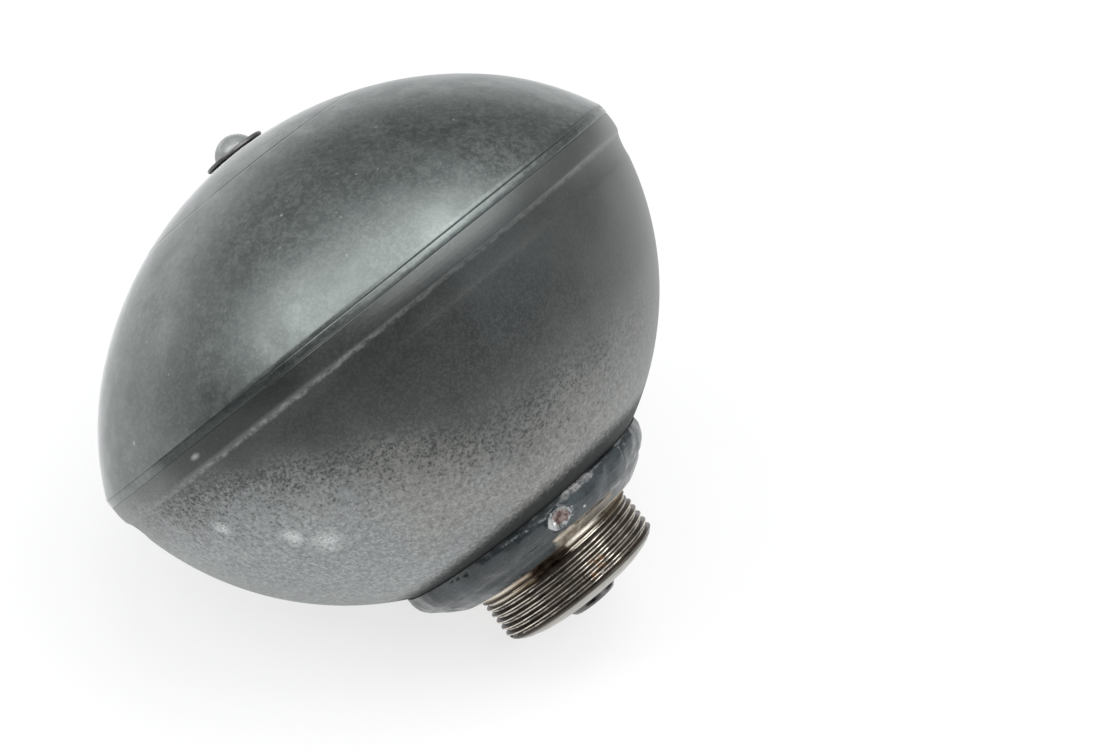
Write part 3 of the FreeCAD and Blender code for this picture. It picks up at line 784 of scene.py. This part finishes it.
def gas_shell(paint):
    """The flatter pressed shell, with a shallow ring around its plug."""
    def on_cap(reach):
        return reach, -sphere_height(CAP_RADIUS, reach, -CAP_CENTRE)

    hole = on_cap(SEAL_BORE[0])
    before = on_cap(PRESS_RING - PRESS_RING_ROOM)
    after = on_cap(PRESS_RING + PRESS_RING_ROOM)
    edge = [(reach, -height) for reach, height in reversed(EDGE)]
    outer = joined(
        outline([hole, Bend(before, CAP_RADIUS)], SKIN_STEP),
        outline([before, Bend(after, CAP_RADIUS)], 0.12),
        outline([after, Bend(CAP_EDGE, CAP_RADIUS), Bend(edge[0], KNUCKLE)], SKIN_STEP))
    rim = outline(edge, EDGE_STEP)
    bend = (CAP_EDGE[0] * INNER_SHARE, CAP_CENTRE - CAP_RISE * INNER_SHARE)
    inner = outline([SEAM_FLOOR, GAS_INSIDE, Bend(bend, KNUCKLE - SHELL_WALL, -1),
                     Bend(PLUG_BORE, CAP_RADIUS - SHELL_WALL, -1), (PLUG_BORE[0], SEAL_BORE[1]),
                     SEAL_BORE, hole], HIDDEN_STEP)

    def stamped(r, z, phi):
        """Uneven pressing, kept inside the solid, and the ring around the plug."""
        circle = hill(r - PRESS_RING, 0.3) * 0.06 * (z < -30)
        return bumps(r, z, phi, 24, 3) * 0.045 - 0.07 - circle + filled(z, phi)

    gas = turned("gas_shell_skin", joined(outer, rim, inner), stamped)
    gas.data.materials.append(paint)
    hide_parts("gas_shell")
    return gas


def fluid_shell():
    """The rounder pressed shell, with its rim band, its ridge and the flare above it."""
    rise = [(RIM + reach, height) for reach, height in BAND]
    band = outline([(SEAT_RADIUS, 0), *EDGE, *rise], EDGE_STEP)
    flare = outline([rise[-1], Bend(FLARE, FLARE_BEND, -1)], 0.4)
    seat = (FLANGE, NECK_SEAT)
    ball = outline([FLARE, Bend(seat, SHELL_RADIUS)], SKIN_STEP)
    inside = math.sqrt(INSIDE_RADIUS ** 2 - (SEAT_DEPTH - SHELL_CENTRE) ** 2)
    back = outline([seat, (NECK_HOLE, NECK_SEAT),
                    (NECK_HOLE, sphere_height(INSIDE_RADIUS, NECK_HOLE, SHELL_CENTRE)),
                    Bend((inside, SEAT_DEPTH), INSIDE_RADIUS, -1), (SEAT_RADIUS, SEAT_DEPTH),
                    (SEAT_RADIUS, 0)], HIDDEN_STEP)

    def pressed(r, z, phi):
        """Uneven pressing, kept inside the solid."""
        return bumps(r, z, phi, 20, 5) * 0.05 - 0.05 + filled(z, phi)

    fluid = turned("fluid_shell_skin", joined(band, flare, ball, back), pressed)
    fluid.data.materials.append(dusty_paint("dusty_paint", 0.5, IOR=1.5))
    fluid.data.materials.append(dusty_paint("band_paint", 0.8, IOR=1.6))
    for face in fluid.data.polygons:
        height = (face.center - seam_centre).dot(axis) / MM
        face.material_index = 1 if 0 < height < BAND_END else 0
    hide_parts("fluid_shell")
    return fluid


def seam_weld(paint):
    """The narrow crowned weld strip between the two shells."""
    strip = outline([SEAM_FLOOR, *((reach, -height) for reach, height in STRIP), STRIP_CROWN,
                     *reversed(STRIP), SEAM_FLOOR], 0.15)

    def ripples(r, z, phi):
        """The fine waves of a machine weld."""
        return bumps(r, z, phi, 1.2, 8) * 0.03 + filled(z, phi)

    weld = turned("seam_weld_strip", strip, ripples, segments=900)
    weld.data.materials.append(paint)
    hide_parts("seam_weld")
    return weld


def lumps(r, z, phi):
    """Uneven weld metal: the overlapping tongue, its crease, the chip, notches and a drip."""
    shown = smooth_step(26.0, 27.2, r + (z - 50) * 0.35) * smooth_step(49.4, 50.2, z)
    lift = bumps(r, z, phi, 6.0, 11) * 0.36 + bumps(r, z, phi, 2.2, 12) * 0.14 - 0.34

    angle = around(phi, OVERLAP_ANGLE)
    border = 50.0 + 0.16 * np.clip(-angle, -40, 6)
    tongue = smooth_step(-0.4, 0.6, angle) * smooth_step(-0.1, 0.35, z - border)
    far = smooth_step(32, 37, angle + 3 * bumps(r, z, phi, 2.0, 16))
    lift = lift + 0.62 * tongue * (1 - far) * smooth_step(-3, 22, 60 - angle)
    thin_line = hill(angle + 0.9, 0.9) * smooth_step(49.8, 50.6, z)
    lift = lift - 0.35 * thin_line

    chip_along = around(phi, CHIP_ANGLE) * CHIP_ARC
    chip_up = (z - CHIP_HEIGHT) * CHIP_SQUASH
    reach = np.hypot(chip_along, chip_up) + bumps(r, z, phi, 1.1, 14) * 0.8
    crater = 1 - smooth_step(1.4, 2.3, reach)
    rim = hill(reach - 2.5, 0.4)
    lift = lift - 0.5 * crater + 0.34 * rim + bumps(r, z, phi, 0.7, 15) * 0.3 * crater

    for place, height, size in NOTCHES:
        notch = np.hypot(around(phi, place) * NOTCH_ARC, z - height)
        lift = lift - 0.45 * hill(notch, size)
    drip = hill(around(phi, DRIP_ANGLE) * DRIP_ARC, 1.2) * smooth_step(54.5, 55.5, z)
    return np.minimum((lift + 0.3 * drip) * shown, 0.42)


def neck_collar():
    """The thick painted weld around the neck."""
    shell = (COLLAR_REACH, sphere_height(SHELL_RADIUS, COLLAR_REACH, SHELL_CENTRE))
    face = outline([(FLANGE - 0.1, NECK_SEAT), Bend(shell, SHELL_RADIUS, -1), *COLLAR,
                    (FLANGE - 0.1, COLLAR_FOOT), (FLANGE - 0.1, NECK_SEAT)], 0.22)
    collar = turned("neck_weld_bead", face, lumps, segments=720, sharp=50)
    collar.data.materials.append(collar_paint())
    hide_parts("neck_weld")
    return collar


def neck():
    """The turned neck with a real helical thread."""
    body = outline([(RELIEF + 0.5, RELIEF_START), (RELIEF, RELIEF_START + 0.5),
                    (RELIEF, THREAD_START - RUN_IN)], 0.4)
    thread = outline([(THREAD_RADIUS, THREAD_START - RUN_IN),
                      (THREAD_RADIUS, THREAD_END + RUN_OUT)], 0.075)
    end = outline([(15.9, LEAD_END - 0.05), (15.2, 69.68), (13.4, 70.28), (13.0, NECK_END),
                   (11.6, NECK_END), (BORE[0], NECK_END - 0.6), BORE, (INNER_BORE[0], BORE[1]),
                   INNER_BORE], 0.5)
    root = (INNER_BORE[0], sphere_height(INSIDE_RADIUS, INNER_BORE[0], SHELL_CENTRE))
    spigot = (SPIGOT, sphere_height(INSIDE_RADIUS, SPIGOT, SHELL_CENTRE))
    foot = outline([root, Bend(spigot, INSIDE_RADIUS, -1), (SPIGOT, NECK_SEAT), (FLANGE, NECK_SEAT),
                    (FLANGE, FLANGE_EDGE), (22.25, 56.95), (21.25, 57.95), (21.0, RELIEF_START),
                    (RELIEF + 0.5, RELIEF_START)], 2.0)

    def helix(r, z, phi):
        """The thread's turns, with a ragged run-in on one side and the lead chamfer."""
        turns = (z / PITCH - phi / TURN) % 1.0
        away = np.abs(turns - 0.5) * 2
        tooth = THREAD_RADIUS - THREAD_DEPTH * np.clip((1 - away - FLAT_SHARE) / FLANK_SHARE, 0, 1)
        left = around(phi, 205.0)
        early = EARLY_THREAD * smooth_step(30, 78, left) * (1 - smooth_step(115, 150, left))
        start = RELIEF + (z - THREAD_START + early) * 0.9
        lead = THREAD_RADIUS - (z - THREAD_END)
        wall = np.minimum(np.minimum(tooth, np.maximum(start, RELIEF)), lead)
        return np.where(r == THREAD_RADIUS, wall - r, 0.0)

    piece = turned("neck_thread", joined(foot, body, thread, end), helix, sharp=32)
    piece.data.materials.append(neck_steel())
    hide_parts("neck_fitting")
    return piece


def plug():
    """The round head of the fill plug and the thin washer under it."""
    foot = WASHER_SEAT - WASHER_WALL
    crown_radius = (PLUG_REACH ** 2 + PLUG_CROWN ** 2) / (2 * PLUG_CROWN)
    head = outline([(0, foot - PLUG_CROWN), Bend((PLUG_REACH, foot), crown_radius),
                    (PLUG_REACH - 0.1, foot + 0.05), (PLUG_SHANK[0], foot + 0.05), PLUG_SHANK,
                    (0, PLUG_SHANK[1])], 0.12)
    top = turned("fill_plug_head", head, segments=128, loop=False)
    top.data.materials.append(plug_paint())
    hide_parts("fill_plug")

    flat = outline([(reach, foot + height) for reach, height in WASHER], 0.15)
    ring = turned("fill_plug_washer_ring", flat, segments=160)
    ring.data.materials.append(top.data.materials[0])
    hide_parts("fill_plug_washer")
    return top, ring


shell_finish = shell_paint()
made = [gas_shell(shell_finish), fluid_shell(), seam_weld(shell_finish), neck_collar(), neck(),
        *plug()]
for piece in made:
    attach(piece, "root")

# Finishes of the nodes that stay as the frame has them, all of them inside or at the neck's end
rubber = machined("seal_rubber", (0.012, 0.012, 0.013), (0.022, 0.022, 0.023), 0.6, 1.0, 0.0)
pressed_steel = machined("pressed_steel", (0.30, 0.29, 0.27), (0.45, 0.44, 0.42), 0.36)
valve_steel = machined("valve_steel", (0.22, 0.21, 0.195), (0.38, 0.36, 0.34), 0.34)
nut_steel = machined("nut_steel", (0.10, 0.10, 0.10), (0.24, 0.235, 0.225), 0.28, 2.0)
spring_steel = machined("spring_steel", (0.25, 0.24, 0.23), (0.40, 0.39, 0.37), 0.25)
kept = {
    "seal_rubber": (rubber, ("fill_plug_seal", "damper_seal")),
    "diaphragm_rubber": (rubber, ("diaphragm",)),
    "pressed_steel": (pressed_steel, ("diaphragm_button", "clamp_ring")),
    "valve_steel": (valve_steel, ("damper_body", "damper_ring", "damper_pin", "bump_spacer",
                                  "rebound_spacer")),
    "nut_steel": (nut_steel, ("damper_nut",)),
    "spring_steel": (spring_steel, tuple(
        f"{stack}_disc_{number}" for stack in ("bump", "rebound") for number in (1, 2, 3))),
}
for slot, (finish, names) in kept.items():
    for name in names:
        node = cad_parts[name]
        node.data.materials.clear()
        node.data.materials.append(finish)


# Camera, floor and light

# The photograph's viewing angle in degrees, its focal length and width in pixels, and the seam's
# place before the lens in metres: across, up and ahead
VIEW_AZIMUTH = 34.66
VIEW_ELEVATION = 39.0
FOCAL = 2487.34
PHOTO_WIDTH = 1107
SENSOR = 36.0
SEAM_PLACE = (-0.037410, 0.013256, 0.476198)

# Where the lamps point, in metres above the floor, and how far out the floor and cards reach
LIT_HEIGHT = 0.055
FLOOR_REACH = 4.0
FLOOR_SIDES = 60
CARD_COLUMNS = 24
CARD_ROWS = 8

FLOOR_COLOUR = (0.9, 0.9, 0.9, 1)
FLOOR_GLOW = 0.75
AIR_COLOUR = (0.93, 0.97, 1.0, 1)
AIR_STRENGTH = 0.4
WHITE = (1, 1, 1, 1)
PLAIN = (1.0, 1.0, 1.0)
BLUISH = (0.78, 0.90, 1.0)

# Area lamps: azimuth and elevation in degrees, distance, width and height in metres, radiance
SOFT_BOXES = {
    "top_box": (125, 81, 0.9, 0.56, 0.56, 3.9),
    "left_box": (-41, 47, 0.9, 0.40, 0.50, 3.9),
    "bridge_box": (-45, 69, 0.9, 0.50, 0.20, 2.4),
    "right_box": (82, 52, 0.9, 0.96, 0.34, 3.3),
    "back_box": (142, 52, 0.9, 0.50, 0.36, 1.3),
}

# Mirrored cards: ranges of azimuth and elevation in degrees, distance in metres, tone and tint
SCREENS = {
    "front_screen": ((-52, 100), (-1, 66), 1.8, 0.02, PLAIN),
    "window_screen": ((84, 116), (10, 32), 1.6, 0.9, BLUISH),
    "right_screen": ((100, 190), (-1, 66), 1.8, 0.12, PLAIN),
    "low_screen": ((198, 288), (-1, 8), 1.7, 2.2, PLAIN),
    "back_screen": ((190, 250), (-1, 66), 1.8, 0.1, PLAIN),
    "left_screen": ((250, 308), (-1, 66), 1.8, 0.32, PLAIN),
}


def placed(name, data):
    """A new object of the scene."""
    made = bpy.data.objects.new(name, data)
    bpy.context.scene.collection.objects.link(made)
    return made


def camera():
    """At the photograph's viewing angle: turned about the vertical, then tipped down."""
    azimuth, elevation = math.radians(VIEW_AZIMUTH), math.radians(VIEW_ELEVATION)
    across = Vector((math.cos(azimuth), math.sin(azimuth), 0))
    ahead = Vector((-math.sin(azimuth) * math.cos(elevation),
                    math.cos(azimuth) * math.cos(elevation), -math.sin(elevation)))
    above = across.cross(ahead)
    offset = SEAM_PLACE[0] * across + SEAM_PLACE[1] * above + SEAM_PLACE[2] * ahead
    lens = bpy.data.cameras.new("camera")
    lens.sensor_width = SENSOR
    lens.lens = SENSOR * FOCAL / PHOTO_WIDTH
    lens.clip_start = 0.01
    turn = Matrix((across, above, -ahead)).transposed().to_4x4()
    turn.translation = seam_centre - offset
    eye = placed("camera", lens)
    eye.matrix_world = turn
    bpy.context.scene.camera = eye


def direction(azimuth, elevation):
    """A unit vector from the object: azimuth 0 is towards -Y, 90 towards +X."""
    a, e = math.radians(azimuth), math.radians(elevation)
    return Vector((math.sin(a) * math.cos(e), -math.cos(a) * math.cos(e), math.sin(e)))


def soft_box(name, azimuth, elevation, distance, width, height, radiance):
    """An area lamp that faces the object; radiance is what a mirror would show of it."""
    lamp = bpy.data.lights.new(name, "AREA")
    lamp.shape = "RECTANGLE"
    lamp.size = width
    lamp.size_y = height
    lamp.energy = radiance * math.pi * width * height
    back = direction(azimuth, elevation)
    box = placed(name, lamp)
    box.location = Vector((0, 0, LIT_HEIGHT)) + back * distance
    box.rotation_mode = "QUATERNION"
    box.rotation_quaternion = back.to_track_quat("Z", "Y")
    box.visible_camera = False


def screen(name, azimuths, elevations, distance, tone, tint):
    """A curved card that the object mirrors and the camera doesn't see."""
    across = np.linspace(*azimuths, CARD_COLUMNS + 1)
    up = np.linspace(*elevations, CARD_ROWS + 1)
    corners = [direction(a, e) * distance for e in up for a in across]
    step = CARD_COLUMNS + 1
    faces = [(i * step + j, i * step + j + 1, (i + 1) * step + j + 1, (i + 1) * step + j)
             for i in range(CARD_ROWS) for j in range(CARD_COLUMNS)]
    mesh = bpy.data.meshes.new(name)
    mesh.from_pydata(corners, [], faces)
    card = placed(name, mesh)
    made = bpy.data.materials.new(name)
    made.use_nodes = True
    tree = made.node_tree
    tree.nodes.clear()
    glow = tree.nodes.new("ShaderNodeEmission")
    glow.inputs["Color"].default_value = (*tint, 1)
    glow.inputs["Strength"].default_value = tone
    out = tree.nodes.new("ShaderNodeOutputMaterial")
    tree.links.new(glow.outputs[0], out.inputs["Surface"])
    mesh.materials.append(made)
    card.visible_camera = False
    card.visible_diffuse = False
    card.visible_shadow = False


def seen_rays(tree):
    """One for camera, glossy and transmission rays."""
    path = tree.nodes.new("ShaderNodeLightPath")
    share = path.outputs["Is Camera Ray"]
    for ray in ("Is Glossy Ray", "Is Transmission Ray"):
        larger = tree.nodes.new("ShaderNodeMath")
        larger.operation = "MAXIMUM"
        tree.links.new(share, larger.inputs[0])
        tree.links.new(path.outputs[ray], larger.inputs[1])
        share = larger.outputs[0]
    return share


def lay_floor():
    """A pale disc that keeps the object's shadow and melts into the white behind it."""
    mesh = bpy.data.meshes.new("floor")
    corners = [direction(a, 0) * FLOOR_REACH for a in range(0, 360, 360 // FLOOR_SIDES)]
    mesh.from_pydata(corners, [], [tuple(reversed(range(FLOOR_SIDES)))])
    floor = placed("floor", mesh)
    made = bpy.data.materials.new("floor_white")
    made.use_nodes = True
    tree = made.node_tree
    matt = tree.nodes["Principled BSDF"]
    matt.inputs["Base Color"].default_value = FLOOR_COLOUR
    matt.inputs["Roughness"].default_value = 0.8
    matt.inputs["Specular IOR Level"].default_value = 0.2
    glow = tree.nodes.new("ShaderNodeEmission")
    glow.inputs["Strength"].default_value = 1.0
    mix = tree.nodes.new("ShaderNodeMixShader")
    share = tree.nodes.new("ShaderNodeMath")
    share.operation = "MULTIPLY"
    share.inputs[1].default_value = FLOOR_GLOW
    tree.links.new(seen_rays(tree), share.inputs[0])
    tree.links.new(share.outputs[0], mix.inputs[0])
    tree.links.new(matt.outputs[0], mix.inputs[1])
    tree.links.new(glow.outputs[0], mix.inputs[2])
    tree.links.new(mix.outputs[0], tree.nodes["Material Output"].inputs["Surface"])
    mesh.materials.append(made)


def fill_air():
    """Dim air around the object, white where the camera or a mirror sees it."""
    world = bpy.data.worlds.new("studio")
    bpy.context.scene.world = world
    world.use_nodes = True
    tree = world.node_tree
    plain = tree.nodes["Background"]
    plain.inputs["Color"].default_value = AIR_COLOUR
    plain.inputs["Strength"].default_value = AIR_STRENGTH
    white = tree.nodes.new("ShaderNodeBackground")
    white.inputs["Color"].default_value = WHITE
    white.inputs["Strength"].default_value = 1.0
    mix = tree.nodes.new("ShaderNodeMixShader")
    tree.links.new(seen_rays(tree), mix.inputs[0])
    tree.links.new(plain.outputs[0], mix.inputs[1])
    tree.links.new(white.outputs[0], mix.inputs[2])
    tree.links.new(mix.outputs[0], tree.nodes["World Output"].inputs["Surface"])


camera()
lay_floor()
fill_air()
for name, values in SOFT_BOXES.items():
    soft_box(name, *values)
for name, values in SCREENS.items():
    screen(name, *values)
bpy.context.scene.view_settings.view_transform = "Standard"
